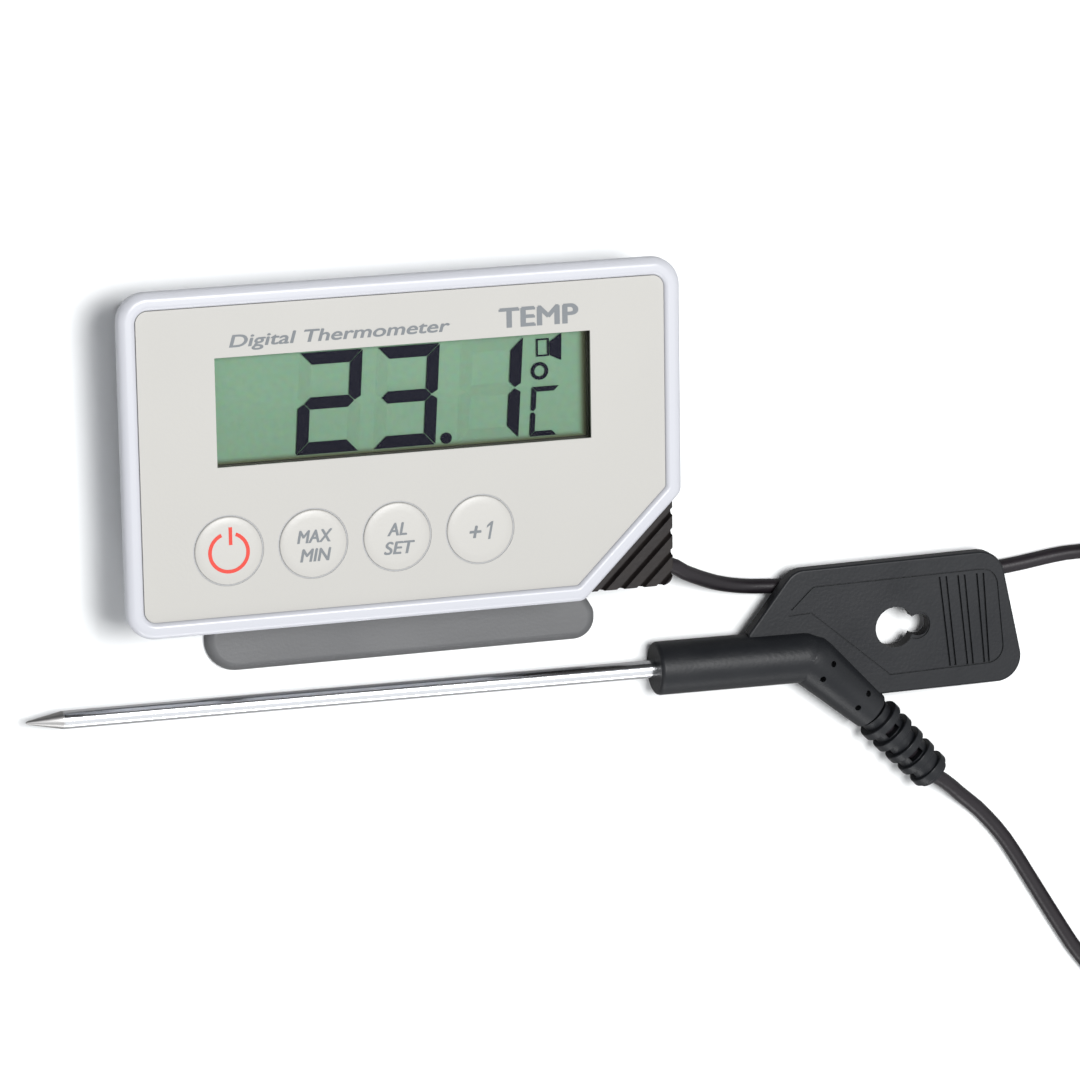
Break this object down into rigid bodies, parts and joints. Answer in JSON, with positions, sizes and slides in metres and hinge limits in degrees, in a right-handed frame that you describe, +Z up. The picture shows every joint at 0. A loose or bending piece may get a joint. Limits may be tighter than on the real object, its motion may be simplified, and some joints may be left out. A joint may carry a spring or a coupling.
{
  "type": "laboratory thermometer with a cabled probe",
  "caption": "Digital darkroom thermometer: a flat display unit on a fold-out stand, with a steel penetration probe on a cord.",
  "frame": {"origin": "on the underside of the stand, below the middle of the display unit", "axes": "+X runs along the display's lower edge, towards the corner where the cord leaves it; +Y runs from the lower edge to the top edge; +Z points up, out of the display's face"},
  "size_m": [0.2655, 0.1652, 0.02],
  "materials": {
    "white_abs": "smooth satin, cool white",
    "label_film": "printed film, fine eggshell texture",
    "key_film": "printed film over a domed cap",
    "clear_window": "clear, polished",
    "lcd_glass": "grey-green reflective display glass",
    "dark_plastic": "moulded, fine grain",
    "seal_rubber": "soft, matt",
    "board_laminate": "solder resist over glass laminate",
    "chip_resin": "moulded resin",
    "battery_wrap": "printed wrap, no wording",
    "steel": "ground and polished stainless steel",
    "wire_pvc": "thin insulated wire",
    "cord_pvc": "soft round cable sheath, satin",
    "block_rubber": "ribbed soft moulding, matt",
    "stand_abs": "moulded, fine grain, satin",
    "handle_rubber": "soft moulding, satin"
  },
  "bodies": {
    "stand": {"stand_plate": "stand_abs", "stand_pin_left": "steel", "stand_pin_right": "steel", "cord_display_run": "cord_pvc", "cord_coil": "cord_pvc", "coil_tie": "seal_rubber", "cord_probe_run": "cord_pvc"},
    "power_key": {"key_power": "key_film"},
    "max_min_key": {"key_max_min": "key_film"},
    "alarm_set_key": {"key_alarm_set": "key_film"},
    "plus_one_key": {"key_plus_one": "key_film"},
    "battery_door": {"battery_cover": "white_abs"},
    "probe": {"probe_sheath": "steel", "sensor_bead": "chip_resin", "sensor_lead_1": "wire_pvc", "sensor_lead_2": "wire_pvc", "handle_core": "dark_plastic", "probe_handle": "handle_rubber", "strain_relief": "handle_rubber", "probe_cable_end": "cord_pvc"},
    "housing": {"battery_cell": "battery_wrap", "battery_contact": "steel", "battery_spring": "steel", "board_screw_1": "steel", "board_screw_2": "steel", "board_wire_1": "wire_pvc", "board_wire_2": "wire_pvc", "buzzer": "chip_resin", "case_screw_1": "steel", "case_screw_2": "steel", "case_screw_3": "steel", "case_screw_4": "steel", "case_seal": "seal_rubber", "circuit_board": "board_laminate", "contact_strip": "seal_rubber", "controller_chip": "chip_resin", "corner_block": "block_rubber", "display_cable_end": "cord_pvc", "dome_switch_1": "steel", "dome_switch_2": "steel", "dome_switch_3": "steel", "dome_switch_4": "steel", "front_case": "white_abs", "label_panel": "label_film", "lcd_cell": "lcd_glass", "lcd_frame": "dark_plastic", "lcd_window": "clear_window", "rear_case": "white_abs"}
  },
  "joints": [
    {"name": "stand_hinge", "type": "hinge", "parent": "stand", "child": "housing", "pos_m": [0, -0.02365, 0.011], "axis": [1, 0, 0], "range_deg": [0, 82]},
    {"name": "power_key_press", "type": "slide", "parent": "housing", "child": "power_key", "axis": [0, 0, -1], "range_m": [0, 0.0004], "stiffness_N_per_m": 3000},
    {"name": "max_min_key_press", "type": "slide", "parent": "housing", "child": "max_min_key", "axis": [0, 0, -1], "range_m": [0, 0.0004], "stiffness_N_per_m": 3000},
    {"name": "alarm_set_key_press", "type": "slide", "parent": "housing", "child": "alarm_set_key", "axis": [0, 0, -1], "range_m": [0, 0.0004], "stiffness_N_per_m": 3000},
    {"name": "plus_one_key_press", "type": "slide", "parent": "housing", "child": "plus_one_key", "axis": [0, 0, -1], "range_m": [0, 0.0004], "stiffness_N_per_m": 3000},
    {"name": "battery_door_slide", "type": "slide", "parent": "housing", "child": "battery_door", "axis": [0, 1, 0], "range_m": [0, 0.02]},
    {"name": "probe_lift", "type": "slide", "parent": "stand", "child": "probe", "axis": [0, 0, 1], "range_m": [0, 0.06]}
  ]
}
